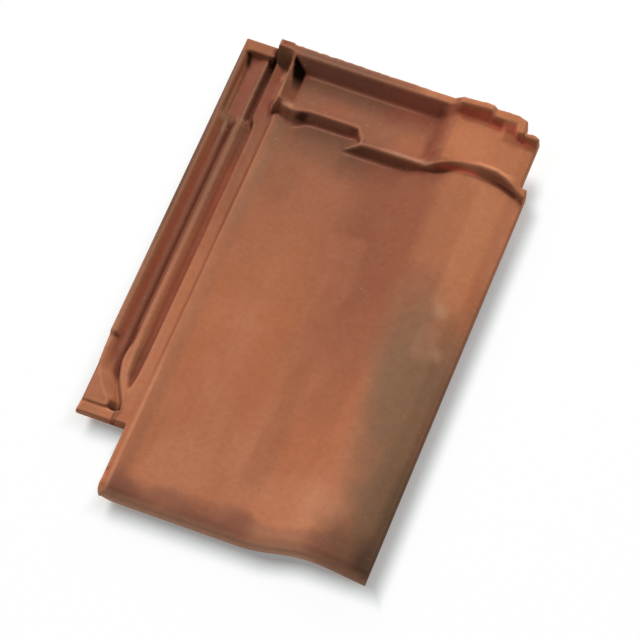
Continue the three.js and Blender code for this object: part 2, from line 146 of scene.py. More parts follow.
# side lock: each line runs up the tile as knots of y, x and height over the land
f, h = lock_foot, long
lock_lines = [
    # the outer rib: its edge, its crest and its inner side
    [[f, 1.2, -3.4], [f + 10, 2, -3], [f + 10.8, 2.2, -2.4], [f + 44, 2.3, -2.2], [f + 61, 0.8, -3],
     [f + 74.5, 0.2, -3.6], [f + 76, 0, -1]],
    [[f, 6, -3], [f + 10, 6, -3], [f + 10.8, 9, -1.9], [f + 27, 6.5, -1.6], [f + 44, 3.2, -1.7],
     [f + 61, 1.8, -2.8], [f + 74.5, 2, -3.6], [f + 76, 2.1, -1]],
    [[f, 18, -3], [f + 10, 18, -3], [f + 10.8, 23, -1.6], [f + 14.5, 23.8, -1.4], [f + 19, 20.3, -0.6],
     [f + 26.5, 13.6, -0.7], [f + 35, 8.2, -0.8], [f + 44, 4.3, -1.6], [f + 61, 3.2, -2.8],
     [f + 74.5, 4.1, -3.6], [f + 76, 4.1, -1], [h - 80, 4.1, -1], [h - 73, 3.4, -1]],
    # the slope into the main groove
    [[f, 22, -3], [f + 10, 22, -3], [f + 10.8, 26, -6], [f + 19, 25.5, -6], [f + 26.5, 20.5, -6],
     [f + 35, 15.6, -6], [f + 44, 11.4, -7], [f + 61, 9.6, -8.3], [f + 74.5, 10.1, -9],
     [h - 80, 10.1, -9], [h - 73, 6.8, -4.6]],
    [[f, 25, -3], [f + 10, 25, -3], [f + 10.8, 28, -9], [f + 19, 28.6, -9.4], [f + 26.5, 25.4, -10.4],
     [f + 35, 21, -10.8], [f + 44, 17.6, -11.2], [f + 61, 13.6, -11.4], [f + 74.5, 13.1, -11],
     [h - 80, 13.1, -11], [h - 73, 10.3, -7.5]],
    # the floor of the main groove
    [[f, 27, -3], [f + 10, 27, -3], [f + 10.8, 29, -9.6], [f + 19, 29.8, -10.2], [f + 26.5, 26.4, -11.2],
     [f + 35, 22, -11.6], [f + 44, 18.8, -12], [f + 54, 16, -12], [f + 61, 15, -12], [f + 76, 15.4, -12],
     [f + 96, 13.9, -12], [h - 80, 13.9, -12], [h - 73, 12.5, -7.5]],
    [[f, 29.5, -3], [f + 10, 29.5, -3], [f + 10.8, 33.4, -9.6], [f + 19, 31.6, -10.2], [f + 26.5, 28, -11.2],
     [f + 35, 23.8, -11.6], [f + 44, 20.4, -12], [f + 54, 17.7, -12], [f + 61, 17, -12],
     [f + 76, 17.8, -12], [f + 96, 16.3, -12], [h - 80, 16.3, -12], [h - 73, 17, -7.5]],
    # the two edges of the inner rib
    [[f, 32.2, -3], [f + 10, 32.2, -3], [f + 10.8, 36.4, -0.2], [f + 19, 33.3, -0.4], [f + 26.5, 29.4, -1.8],
     [f + 35, 25.2, -2.8], [f + 45, 21.7, -3.6], [f + 54, 19.3, -4.2], [f + 61, 19.2, -4.5],
     [f + 76, 22, -5], [h - 80, 22.3, -5], [h - 73, 19.5, -6.4]],
    [[f, 33.1, -0.4], [f + 10, 33.1, -0.4], [f + 10.8, 37, 0], [f + 19, 34.3, 0], [f + 26.5, 33.2, -0.5],
     [f + 35, 31.4, -1.6], [f + 44, 28.2, -3], [f + 61, 26, -4.4], [f + 91, 25, -5], [h - 80, 25, -5],
     [h - 73, 24.5, -5.5]],
    # the floor of the side groove, and the edge of the land beside it
    [[f, 34, 0], [f + 10, 34, 0], [f + 10.8, 37.4, 0], [f + 19, 35, 0], [f + 28, 34.4, -0.6],
     [f + 35, 33, -5], [f + 44, 31.8, -8], [f + 61, 31.3, -9.8], [f + 91, 31.3, -10],
     [h - 80, 31.3, -10], [h - 73, 27.3, -12]],
    [[f, 35, 0], [f + 10, 35, 0], [f + 10.8, 37.8, 0], [f + 19, 35.6, 0], [f + 28, 34.8, -0.6],
     [f + 35, 35.2, -5], [f + 44, 35.6, -8], [f + 61, 35.9, -9.8], [f + 91, 35.9, -10],
     [h - 80, 35.9, -10], [h - 73, 31.2, -12]],
    [[f, 36, 0], [f + 10, 36, 0], [f + 10.8, 38.2, 0], [f + 19, 36.4, 0], [f + 28.5, 35.4, 0],
     [f + 35, 36.4, 0], [f + 44, 37.3, 0], [h - 87, 36.9, 0], [h - 73, 32.3, 0]],
]
lock = land + ladder(X, [(knots(k, Y), knots(k, Y, 2)) for k in lock_lines])
lock = lock - 0.9 * stroke(Y - f - 9.6, 0.9) * (X > 2) * (X < 32)   # a scored line across its foot
pad = np.clip((Y - (h - 13)) / 2.3, 0, 1)                           # the level pad at its head
lock = lock * (1 - pad) + (land - 1) * pad
lock_edge = knots(lock_lines[0], Y)

# head: each line runs across the tile as knots of x, distance from the head end, and height
# over the deck. Zones are left of the drain gap, in it, and right of it.
roll_bar_foot = [[114.7, 64], [115.2, 77.9], [160, 78.2], [176, 77.2], [189, 74.2], [202, 72],
                 [221, 71.5], [238, 71.5], [252, 72.3], [261, 74.2], [275, 77.4]]
roll_bar_edge = [[114.7, 63.6, -10], [115.2, 77.4, -8], [128.2, 72.2, 0.4], [134.2, 70.8, 1],
                 [183, 71, 1], [188, 72.3, 3.2], [194.4, 73.9, 9.2], [199.7, 72.4, 13], [204.4, 69.8, 14.2],
                 [210, 67.6, 15.4], [216, 66.2, 16.2], [232, 64.8, 18.2], [247, 64.7, 17.5],
                 [256, 66.6, 14.7], [263, 69, 12.1], [266.5, 71, 10], [270, 72.6, 8.4], [275, 74.6, 7]]
lock_bar_foot = [[32.3, 36], [46.5, 65], [49.5, 62.8], [59.5, 68.4], [66, 69.8], [72.5, 68.3],
                 [77.5, 64.9], [83.5, 63.2], [122.8, 63.3], [128.2, 67.6]]
lock_bar_edge = [[32.3, 33, -12], [43.5, 54, -12], [46.5, 62.4, 0], [48.2, 61.2, 4], [52.5, 58.6, 4],
                 [57.5, 60.1, 3], [64.5, 59.9, 1.5], [71.5, 58.4, 1], [78.5, 56.6, 1],
                 [115.2, 56.4, 1], [122.8, 56.4, 0.8], [128.2, 65.2, 0.5]]
lip_end = [[32.3, 30], [46.5, 56], [55, 55.3], [62.5, 51.5], [71.5, 54], [122.8, 54], [128.2, 61.5],
           [181, 62], [187, 60], [192, 57], [204, 57], [215, 61.5], [275, 61]]
floor_end = [[32.3, 16.2], [45.5, 17], [62.5, 23.4], [180, 24.2], [199, 23.4], [215, 26.4], [237, 27],
             [240.5, 36.4], [253, 35.4], [275, 30]]
cove = [[32.3, 15.6, 1], [45.5, 16.4, 1], [62.5, 22.6, 0.6], [180, 22.8, 0.6], [199, 21, 1],
        [237, 23.4, 1], [240.5, 27.4, 2.4], [250, 26.2, 2.4], [252, 29.2, 2], [275, 26, 2]]
rib_inner = [[32.3, 11.4], [45.5, 12], [51.5, 13.4], [190, 13.4], [199, 16.4], [226, 15.6], [229, 19.4],
             [238, 19], [243, 17.6], [249, 17.4], [251, 25.8], [269, 22.9]]
rib_outer = [[32.3, 5.4], [190, 6.8], [199, 11], [225, 10.6], [229, 11.8], [249, 10.2], [256.2, 11.8],
             [257.6, 22], [264, 20], [269, 20.6]]
rib_lift = [[32.3, 13], [190, 13], [199, 11.3], [226, 11.3], [229, 8.5], [256.2, 8.5], [257.6, 6.5],
            [269, 5.5]]
bank = [[32.3, -12], [44, -12], [49.1, 8], [50.1, 8], [62.5, 0], [261, 0], [270, -2]]

dome, side_bank = head_rise(X), knots(bank, X)
deck_here = deck + dome + side_bank
deep = np.where(X > 48.5, water + field_rise(X), land) - 1      # just below what lies before the bars
roll_y0, lock_y0 = h - knots(roll_bar_foot, X), h - knots(lock_bar_foot, X)
roll_y1, roll_z = h - knots(roll_bar_edge, X), deck + knots(roll_bar_edge, X, 2)
lock_y1, lock_z = h - knots(lock_bar_edge, X), deck + knots(lock_bar_edge, X, 2)
lip = knots([[184, 4], [190, 1.5], [206, 1.5], [212, 4]], X)
zones = [X < gap_from, X <= gap_to]


def by_zone(left, gap, right):
    """A line's values left of the drain gap, in it, and right of it."""
    return np.select(zones, [left + 0 * X, gap + 0 * X], right + 0 * X)


gap_floor = knots([[gap_from, water + 0.3], [122.5, water + 1.2], [gap_to - 0.6, water + 3.5],
                   [gap_to, deck + 0.4]], X)
climb = flank_high * np.clip((X - flank_from) / (flank_to - flank_from), 0, 1)
rib_top = deck + np.where(X < flank_to, climb, dome) + knots(rib_lift, X)
rib_in, rib_out = h - knots(rib_inner, X), h - knots(rib_outer, X)
bars_from = by_zone(lock_y0 - 0.6, roll_y0, roll_y0)
head = ladder(Y, [
    (bars_from, deep),
    (by_zone(lock_y0 - 0.3, roll_y1, roll_y1), by_zone(deep, roll_z, roll_z)),
    (by_zone(lock_y0, lock_y0, roll_y1 + 1.8), by_zone(deep, gap_floor, roll_z)),
    (by_zone(lock_y1, lock_y1, roll_y1 + lip), by_zone(lock_z, lock_z, np.minimum(deck_here, roll_z + 0.2))),
    (h - knots(lip_end, X), deck_here),
    (h - knots(floor_end, X), deck_here),
    (h - knots(cove, X), deck_here + knots(cove, X, 2)),
    (rib_in, rib_top),
    (rib_out, rib_top),
])

# the three forms joined, then softened; beyond the outline the field drops, which rounds the edge
nothing = -100.0
body_head = np.where(X > notch_from, edge_end, body_end)
in_lock = (X < lock_right) & (Y >= lock_foot)
in_body = (X > body_left) & (Y < body_head)
in_head = (X > rim_from) & (Y > bars_from)
top = np.maximum(np.where(in_lock, lock, nothing), np.where(in_body, body, nothing))
top = np.maximum(top, np.where(in_head, head, nothing))
top = np.where(top < 0, np.where(X < 46, land - 3, body), top)
foot_inset = knots([[0, 3.2], [0.6, 2.4], [2, 1.4], [4.4, 0.5], [7.7, 0]], Y)
at_foot = (Y < 2) & (X > 44)


def outline(rim):
    """True inside the tile's plan, whose head ends at rim beyond the lock."""
    left = (X >= lock_edge) & (Y >= lock_foot) & (Y <= long) & (X < lock_right)
    middle = (X >= body_left + foot_inset) & (Y >= 0) & (Y <= body_end) & (X <= wide)
    right = (X >= rim_from) & (Y > 300) & (Y <= rim)
    return (left | middle | right) & ~((X > notch_from) & (Y > edge_end))


uneven = np.random.default_rng(11)
posts = gx[::6]
ragged = np.interp(gx, posts, uneven.normal(0, 0.22, len(posts)))[:, None]
rim_top = rib_out + 0.5 + ragged
rim_foot = np.minimum(h - 3, rib_out + 3)
top = soften(top - np.where(at_foot, 0.6, edge_soft) * ~outline(rim_top), upper_soft)
for size, depth in ((28.0, 0.11), (5.0, 0.015)):
    wave = soften(uneven.normal(0, 1, top.shape), size)
    top = top + depth * wave / wave.std()

# underside: flat under the water course, following the roll, and pared at the foot's left corner
lift = knots([[41.5, 6.5], [49.5, 5], [56.5, 1.2], [72.5, -3]], X)
back = np.clip((Y + 3) / 21, 0, 1)
pared = np.maximum(0, lift * (1 - back) - 3 * back)
under_lock = knots([[f, land - 12], [f + 10, land - 12], [f + 34, lock_under]], Y)
under_head = np.where(X > 47.5, deck - sheet + dome + np.minimum(0, side_bank), lock_under + 4)
under = np.where(Y < body_head, rest + field_rise(X) + pared, under_head)
under = np.where(in_lock, under_lock, under)
under = soften(under + np.where(at_foot, 1.6, edge_soft) * ~outline(rim_foot), lower_soft)


def grid_lines(start, *stretches):
    """Grid lines from start: each stretch gives where it ends and how many steps it has."""
    ends = [start] + [end for end, _ in stretches]
    parts = [np.linspace(a, b, n, endpoint=False) for a, (b, n) in zip(ends, stretches)]
    return np.append(np.concatenate(parts), ends[-1])


# the head's corner in the grid, and the row from which it bends to the rim
grid_left, grid_head, bend_from = 31.6, 440.0, 400.0
cols = grid_lines(0, (2, 4), (grid_left, 43), (32.5, 1), (38.5, 9), (body_left, 5), (53, 9), (63, 9),
                  (84, 13), (110, 6), (132, 22), (178, 10), (203, 22), (224, 12), (231, 9), (247, 8),
                  (259, 16), (notch_from, 9), (wide, 6))
rows = grid_lines(0, (2, 5), (12, 9), (30, 9), (60, 6), (lock_foot, 4), (66, 3), (72, 5), (76, 9),
                  (112, 30), (142, 16), (150, 2), (350, 16), (358, 4), (edge_end, 24), (393, 20),
                  (415, 18), (grid_head, 33), (long, 4))
U, V = np.meshgrid(cols, rows, indexing="ij")


def placed(rim):
    """Bends the square grid onto the outline: the lock's outer edge, the foot corner and the rim."""
    x = U + np.interp(V, gy, lock_edge[0]) * np.clip(1 - U / 6, 0, 1) * (V >= lock_foot)
    x = x + np.interp(V, gy, foot_inset[0]) * np.clip(1 - (U - body_left) / 5.1, 0, 1) * (U >= body_left)
    end = np.interp(U, gx, rim[:, 0])
    bent = bend_from + (V - bend_from) * (end - bend_from) / (grid_head - bend_from)
    return x, np.where((V > bend_from) & (U > 32), bent, V)


def shell(rim, field):
    """One face of the slab as grid points in millimetres."""
    x, y = placed(rim)
    return np.stack([x, y, sample(field, x, y)], axis=-1)


upper, lower = shell(rim_top, top), shell(rim_foot, under)
lower[..., 2] = np.minimum(lower[..., 2], upper[..., 2] - thinnest)

# what the clay's colour follows at each point of the upper face: a painted highlight on edges, with some
# wear;
# painted shade in hollows; painted shade in corners and grooves, with grime along the main groove; painted
# highlight in thin pale lines along the bars and the head rib; and painted reddish light on walls in shade
px, py = upper[..., 0], upper[..., 1]
roll_foot, lock_bar = h - knots(roll_bar_foot, px), h - knots(lock_bar_foot, px)
past_bar = py - roll_foot


def thinned(mask, *places):
    """A mask made weaker: it loses a share of itself at each place."""
    for share, where in places:
        mask = mask * (1 - share * where)
    return mask


# painted highlight on convex edges, with some wear: paler where the face stands above its softened self
edge_sheen_and_wear = np.clip(sample(top - soften(top, 1.2), px, py) / 0.3 - 0.1, 0, 1)
edge_sheen_and_wear = thinned(
    edge_sheen_and_wear,
    (0.7, window(px, 32.5, 33.5, 40, 42) * ease(180, 260, py) * (py < 430)),        # the land's edge
    (0.5, window(px, 20.5, 21.5, 23, 24.5) * ease(180, 240, py) * (py < 430)),      # the inner rib
    (0.5, window(px, 66, 72, 117, 122) * window(py, 384, 385.5, 389, 392)))         # the left bar

# painted shade in hollows: how far a point lies below its softened surroundings
hollow_shade = np.clip(sample(soften(top, 5.0) - top, px, py) / 5.0, 0, 1)
hollow_shade = hollow_shade * np.maximum(ease(2, 6, py), px < body_left)
gap_shade = window(py - 379.6 + 0.33 * (px - 113), -0.5, 1, 30, 31)
gap_shade = thinned(gap_shade, (1, ease(-1.2, 0.6, py - 386 + 1.6 * (px - 122))), (1, ease(384.6, 386.6, py)))
hollow_shade = np.maximum(hollow_shade, 0.6 * gap_shade * window(px, 112, 118, 127.5, 129))
hollow_shade = thinned(
    hollow_shade,
    (0.75, window(px, 36, 39, 47, 50) * window(py, 384, 396, 434, 438)),            # beside the bank
    (0.8, window(px, 196, 202, 268, 272) * window(py, 400, 406, 413, 417)),         # before the stepped rib
    (0.8, window(px, 188, 195, 268, 272) * window(past_bar, -9, -7, -0.5, 1)))      # below the right bar
hollow_shade = np.maximum(hollow_shade, 0.3 * stroke(past_bar + 0.6, 2.2) * ease(190, 202, px))
roll_shade = knots([[206, 0], [222, 0.36], [245, 0.4], [256, 0.6], [266, 0.6], [272, 0]], px)
bar_line = past_bar - knots([[240, 0], [256, 1.4]], px)
hollow_shade = np.maximum(hollow_shade, roll_shade * window(bar_line, -4.2, -1.0, 0.3, 1.8))
outlet = knots([[66, 35.5], [76, 36.8], [84, 32.5], [91, 27.5], [100, 22.7], [110, 19.3], [120, 17.3],
                [135, 16.6], [155, 16.4], [360, 16.2]], py)     # middle of the main groove and its outlet
hollow_shade = thinned(
    hollow_shade,
    (0.3, window(px, 64, 70, 178, 186) * window(py, 418.5, 420, 422, 424)),         # foot of the head rib
    (0.25, window(px, 134, 142, 180, 186) * window(py, 364, 366, 370, 372)),        # face of the right bar
    (0.9, window(px - outlet, -15, -12, 1, 3) * window(py, 74, 80, 98, 112)))       # the shelf

lean = 0.25 * (424 - py)
bank_side = window(px, 48.8 + np.clip(lean, 0, 6), 51.3 + np.clip(lean, 0, 7), 61.5, 63.5)
bank_side = thinned(bank_side, (1, ease(459, 462, py + 0.636 * px)))
# strength of the painted shade along the bank and the side groove, and of grime and shade along the main
# groove
bank_shade = knots([[389, 0], [393, 0.06], [400, 0.32], [406, 0.6], [413, 1], [430, 1]], py)
side_groove_shade = knots([[366, 0], [376, 0.3], [405, 0.4], [424, 0.78], [432, 0.8]], py)
outlet_grime_and_shade = knots([[64, 0], [72, 0.4], [84, 0.12], [96, 0.22], [116, 0.54], [350, 0.58], [364, 0]], py)
side_wall = knots([[356, 37.3], [370, 33.2], [440, 33.2]], py)
crease = 42 + (427.5 - py) * 0.55
# painted shade in corners and grooves, with grime along the main groove
shade_and_grime = np.maximum.reduce([
    # painted shade on the bank's right side, darkest in the corner by the head rib
    bank_side * bank_shade * (py < 430),
    0.24 * window(px, 50, 52, 61, 63) * window(py, 388.5, 393, 402, 412),
    # painted shade in the pocket at the lock's head: its outer corner and two lines down its slope
    0.95 * stroke(px - 7.6 - 0.25 * (428 - py), 2.7) * window(py, 412, 424, 430, 432),
    0.45 * stroke(px - 6, 1.4) * window(py, 366, 376, 426, 430),
    0.4 * stroke(px - 10.2, 1.3) * window(py, 366, 376, 426, 430),
    # painted shade at the head end of the main groove, on the side groove's floor, wall and corner, and along
    # the crease
    0.55 * stroke(px - 16, 2.4) * window(py, 322, 345, 362, 367),
    window(px, 26.4, 29, 32.2, 33.6) * side_groove_shade,
    0.6 * stroke(px - side_wall, 1.1) * window(py, 356, 362, 424, 430),
    0.45 * stroke(px - crease, 0.8) * window(py, 412, 414, 426, 429),
    # painted shade right of the beak, on the face of the bar over the roll, and in the nick
    0.74 * window(px - 0.7 * (py - 381), 66, 71.5, 74.5, 79.5) * window(py, 376.5, 380, 383, 386),
    0.2 * window(px, 228, 240, 262, 268) * window(past_bar, 0.5, 2, 4.5, 6),
    0.45 * stroke(py - 22.5, 1.3) * window(px, 43, 44, 47.5, 49.5),
    # painted shade and grime on the main groove's floor and slope, at the outlet's end, and in the outer
    # rib's step
    stroke(px - outlet, 1.6) * outlet_grime_and_shade,
    0.25 * stroke(px - outlet + 8, 3) * window(py, 108, 120, 135, 150),
    0.5 * window(px, 22.5, 25.5, 33, 37) * window(py, 73.5, 75, 80, 86),
    0.6 * window(px, 3, 5, 7, 9) * window(py, 136, 137.5, 139, 141)])
roll_edge, floor_line = h - knots(roll_bar_edge, px), h - knots(floor_end, px)
# painted highlight: thin pale lines before the bars' feet, on the right bar's top edge and before the head
# rib
pale_line_highlight = np.maximum.reduce([
    stroke(py - lock_bar + 1.8, 0.9) * window(px, 50, 54, 118, 126),
    stroke(past_bar + 2.2, 0.9) * window(px, 116, 119, 140, 172),
    1.6 * stroke(py - roll_edge - 2.1, 2.2) * window(px, 140, 165, 190, 197),
    0.8 * stroke(py - floor_line + 1.2, 1.2) * window(px, 64, 68, 150, 190)])
rim_wall = knots([[199, 422.8], [226, 422.8], [230, 419.5], [249, 419.5], [252, 414.5], [268, 415.5]], px)
# painted reddish light that lifts the shade on the stepped rib's wall and on the right bar's face over the
# roll
red_wall_light = np.maximum(stroke(py - rim_wall, 3.4) * window(px, 196, 202, 264, 271),
                     window(past_bar, -1.5, 0.8, 2, 3.6) * window(px, 194, 204, 226, 242))

# the two faces and, between them, a wall of three courses round the outline
cu, cv = (cols[1:] + cols[:-1])[:, None] / 2, (rows[1:] + rows[:-1])[None, :] / 2
below_lock = (cu < body_left) & (cv < lock_foot)
in_notch = (cu > notch_from) & (cv > edge_end)
past_head = (cu > grid_left) & (cv > grid_head)
solid = ~(below_lock | in_notch | past_head)
n_cols, n_rows = U.shape
number = np.arange(n_cols * n_rows).reshape(n_cols, n_rows)
quads = np.stack([number[:-1, :-1], number[1:, :-1], number[1:, 1:], number[:-1, 1:]], axis=-1)[solid]
walls = np.pad(solid, 1)
sides = [(number[:-1, 1:], number[:-1, :-1], walls[:-2, 1:-1]),     # left
         (number[1:, :-1], number[1:, 1:], walls[2:, 1:-1]),        # right
         (number[:-1, :-1], number[1:, :-1], walls[1:-1, :-2]),     # foot
         (number[1:, 1:], number[:-1, 1:], walls[1:-1, 2:])]        # head
edge = np.concatenate([np.stack([a[solid & ~clay_on], b[solid & ~clay_on]], axis=-1)
                       for a, b, clay_on in sides])
up, low = upper.reshape(-1, 3), lower.reshape(-1, 3)
course_share, course_most, upper_lean, lower_lean = 0.3, 1.3, 0.12, 0.9
course = np.clip(course_share * (up[:, 2:] - low[:, 2:]), 0, course_most)
aside = low[:, :2] - up[:, :2]
deeper = np.hstack([up[:, :2] + aside * upper_lean, up[:, 2:] - course])
higher = np.hstack([up[:, :2] + aside * lower_lean, low[:, 2:] + course])
total = len(up)
points = np.concatenate([up, deeper, higher, low])
faces = [quads, quads[:, ::-1] + 3 * total]
for level in range(3):
    a, b = edge[:, 0] + level * total, edge[:, 1] + level * total
    faces.append(np.stack([b, a, a + total, b + total], axis=-1))
slab_faces = np.concatenate(faces)
used = np.unique(slab_faces)
renumber = np.zeros(len(points), int)
renumber[used] = np.arange(len(used))
parts = [(points[used], renumber[slab_faces])]

# each mask is whole on the upper face, half as strong one course down the wall, and then gone; the
# weathered colours reach down the wall to its last course
masks = {"edge_sheen_and_wear": edge_sheen_and_wear, "hollow_shade": hollow_shade, "shade_and_grime": shade_and_grime, "pale_line_highlight": pale_line_highlight, "red_wall_light": red_wall_light}
# these masks carry painted highlight, shade and red light, as well as wear and grime
wear_and_shading = {name: np.concatenate([mask.ravel(), mask.ravel() / 2, np.zeros(2 * total)])[used]
        for name, mask in masks.items()}
wear_and_shading["weathered"] = np.repeat([1.0, 1.0, 1.0, 0.0], total)[used]


def tube(rings):
    """Closes a run of rings into a solid, with a middle point at each end."""
    n, m = rings.shape[:2]
    k = np.arange(n * m).reshape(n, m)
    after = np.roll(k, -1, axis=1)
    side = np.stack([k[:-1], after[:-1], after[1:], k[1:]], axis=-1).reshape(-1, 4)
    first, last = n * m, n * m + 1
    caps = np.concatenate([np.stack([after[0], k[0], k[0] * 0 + first], -1),
                           np.stack([k[-1], after[-1], k[0] * 0 + last], -1)])
    caps = np.concatenate([caps, caps[:, 2:]], axis=1)
    ends = [rings[0].mean(0), rings[-1].mean(0)]
    return np.concatenate([rings.reshape(-1, 3), ends]), np.concatenate([side, caps])


def stud(x0, x1, y0, y1, tip, root, draft):
    """A drafted block that stands down: rings of a squared oval, drawn in round its tip."""
    turn = np.linspace(0, 2 * np.pi, 49)[:-1]
    tall, squared = root - tip, 0.25
    depth = np.array([0, 0, 0.15, 0.6, 1.3, 0.3 * tall, 0.7 * tall, tall])
    inset = np.array([3.0, 1.3, 0.6, 0.15, 0, 0, 0, 0]) * min(1, (x1 - x0) / 12)
    grow = (draft * depth / tall - inset)[:, None]
    cx, cy = np.cos(turn), np.sin(turn)
    ox = np.sign(cx) * np.abs(cx) ** squared * ((x1 - x0) / 2 + grow) + (x0 + x1) / 2
    oy = np.sign(cy) * np.abs(cy) ** squared * ((y1 - y0) / 2 + grow) + (y0 + y1) / 2
    return tube(np.stack([ox, oy, tip + depth[:, None] + 0 * ox], axis=-1))


# two batten nibs, two stacking lugs, and two cover ribs under the free edge; each bites into the sheet
nib_wide, lug_wide, cover_wide, bite = 32, 16, 4, 2.0
for x0 in (76.5, 149.0):
    parts.append(stud(x0, x0 + nib_wide, 408, 426, 0, deck - sheet + bite, 1.4))
for x0 in (63.5, 151.0):
    parts.append(stud(x0, x0 + lug_wide, 72, 88, 0, rest + bite, 1.4))
for x0, tip in ((242.1, 19.5), (260.9, 20.5)):
    root = rest + field_rise(x0 + cover_wide) + bite
    parts.append(stud(x0, x0 + cover_wide, 24, body_end - 12, tip, root, 1.2))

# the rib across the foot: one section of seven points carried along x, smaller at both ends
rib_x = np.concatenate([[65.9, 66.4], np.linspace(68, 160, 12), np.linspace(164, 260, 40),
                        [261.4, 261.9]])[:, None]
section = np.array([[-0.5, 12], [0.6, 1.4], [1.6, 0.3], [3.5, 0], [5.4, 0.3], [6.4, 1.4], [7.5, 12]])
rib_y, rib_mid, rib_deep, rib_root = 15, 3.5, 9, 12
shrink = np.ones_like(rib_x)
shrink[[0, -1]] = 0.75
parts.append(tube(np.stack([
    rib_x + 0 * section[:, 0],
    rib_y + rib_mid + (section[:, 0] - rib_mid) * shrink,
    rest - rib_deep + field_rise(rib_x) + rib_root - (rib_root - section[:, 1]) * shrink], axis=-1)))

shift, all_points, all_faces = 0, [], []
for own_points, own_faces in parts:
    all_points.append(own_points)
    all_faces.append(own_faces + shift)
    shift += len(own_points)
metres = (np.concatenate(all_points) - [wide / 2, long / 2, 0]) / 1000
faces = [list(dict.fromkeys(q)) for q in np.concatenate(all_faces).tolist()]
mesh = bpy.data.meshes.new("pressed_tile")
mesh.from_pydata(metres.tolist(), [], faces)
mesh.polygons.foreach_set("use_smooth", np.ones(len(mesh.polygons), bool))
for name, values in wear_and_shading.items():
    values = np.pad(values, (0, len(metres) - len(values)))
    mesh.attributes.new(name, "FLOAT", "POINT").data.foreach_set("value", values)
mesh.update()
tile = bpy.data.objects.new("pressed_tile", mesh)
bpy.context.collection.objects.link(tile)
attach(tile, "root")
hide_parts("tile")

# its clay: fired orange, flashed brown, red and olive by the kiln; painted highlights on edges, painted shade
# in hollows
clay = bpy.data.materials.new("fired_clay")
clay.use_nodes = True
tree = clay.node_tree
shader = tree.nodes["Principled BSDF"]


def add(kind, inputs, out=0, **settings):
    """One node with its settings, and its inputs as sockets or plain values; returns one output."""
    node = tree.nodes.new(kind)
    for name, value in settings.items():
        setattr(node, name, value)
    for name, value in inputs.items():
        if isinstance(value, bpy.types.NodeSocket):
            tree.links.new(value, node.inputs[name])
        else:
            node.inputs[name].default_value = value
    return node.outputs[out]


def worked(operation, *values):
    """One step of arithmetic on sockets or plain numbers."""
    return add("ShaderNodeMath", dict(enumerate(values)), operation=operation)


def mixed(share, one, other):
    """Two colours, with that share of the other."""
    return add("ShaderNodeMix", {0: share, 6: one, 7: other}, 2, data_type="RGBA")


def fired(red, green, blue):
    """A colour from its chart numbers out of 255, turned into the share of light that it sends back."""
    c = np.array([red, green, blue]) / 255
    return (*np.where(c < 0.04045, c / 12.92, ((c + 0.055) / 1.055) ** 2.4), 1.0)


def cloud(size, detail=2.0, out="Fac", along=1.0):
    """Smooth noise about a half, with lumps of that size in millimetres, drawn out along the tile."""
    lumps = add("ShaderNodeMapping", {"Vector": mm, "Scale": (1 / size, 1 / size / along, 1 / size)})
    return add("ShaderNodeTexNoise", {"Vector": lumps, "Scale": 1.0, "Detail": detail}, out)


def rise(value, start, end, low=0.0, high=1.0):
    """A smooth step that goes from low at start to high at end."""
    limits = {"Value": value, "From Min": start, "From Max": end, "To Min": low, "To Max": high}
    return add("ShaderNodeMapRange", limits, interpolation_type="SMOOTHSTEP", clamp=False)


def both(one, other):
    """Where two masks overlap: their product."""
    return worked("MULTIPLY", one, other)


def span(value, a, b, c, d):
    """A mask that comes in from a to b and goes out from c to d."""
    return both(rise(value, a, b), rise(value, d, c))


def askew(value, share, base):
    """A coordinate that runs askew: a base and a share of another value."""
    return worked("MULTIPLY_ADD", value, share, base)


def shown(mask):
    """A mask as it is, or made from a value, where it comes in and, with four numbers, goes out."""
    if not isinstance(mask, tuple):
        return mask
    value, *at = mask
    return rise(value, *at) if len(at) == 2 else span(value, *at)


def over(below, tint, strength, *masks):
    """A tint laid over what is below, as thick as the product of its masks times its strength."""
    *others, thickness = [shown(mask) for mask in masks]
    for other in reversed(others):
        thickness = both(other, thickness)
    return mixed(both(thickness, strength), below, fired(*tint))


def layered(below, washes):
    """Lays a list of washes over a colour, each with its tint, its strength and its masks."""
    for tint, strength, *masks in washes:
        below = over(below, tint, strength, *masks)
    return below


def parted(vector):
    """The x, y and z of a vector."""
    cut = add("ShaderNodeSeparateXYZ", {"Vector": vector}).node
    return cut.outputs[0], cut.outputs[1], cut.outputs[2]


# places in the tile's own millimetres, and the same places adrift, so that a flash's border wanders
spot = add("ShaderNodeTexCoord", {}, "Object")
to_mm = {"Vector": spot, "Location": (wide / 2, long / 2, 0), "Scale": (1000, 1000, 1000)}
mm = add("ShaderNodeMapping", to_mm)
x, y, _ = parted(mm)
drift = add("ShaderNodeSeparateColor", {"Color": cloud(60, 3, "Color")}).node.outputs
drift_x, drift_y = 26, 60
mx = askew(drift[0], drift_x, worked("SUBTRACT", x, drift_x / 2))
my = askew(drift[1], drift_y, worked("SUBTRACT", y, drift_y / 2))
# painted edge highlights with wear, shade in hollows, shade and grime in corners, pale highlight lines and
# red light on walls
sheen_on_edges, shaded_hollows, shaded_corners_grime, pale_highlight_lines, red_light_on_walls, outside = [
    add("ShaderNodeAttribute", {}, "Fac", attribute_name=name) for name in wear_and_shading]

# body colour: two oranges in clouds, a duller strip along the margin, and faint streaks up the tile
colour = mixed(rise(cloud(45, 3, along=2.2), 0.35, 0.65), fired(168, 101, 68), fired(176, 111, 79))
colour = over(colour, (160, 104, 76), 0.5, (x, 50, 54, 62, 69))
colour = over(colour, (152, 96, 70), 0.35, (cloud(9, 2, along=14), 0.5, 0.8))
plain = colour
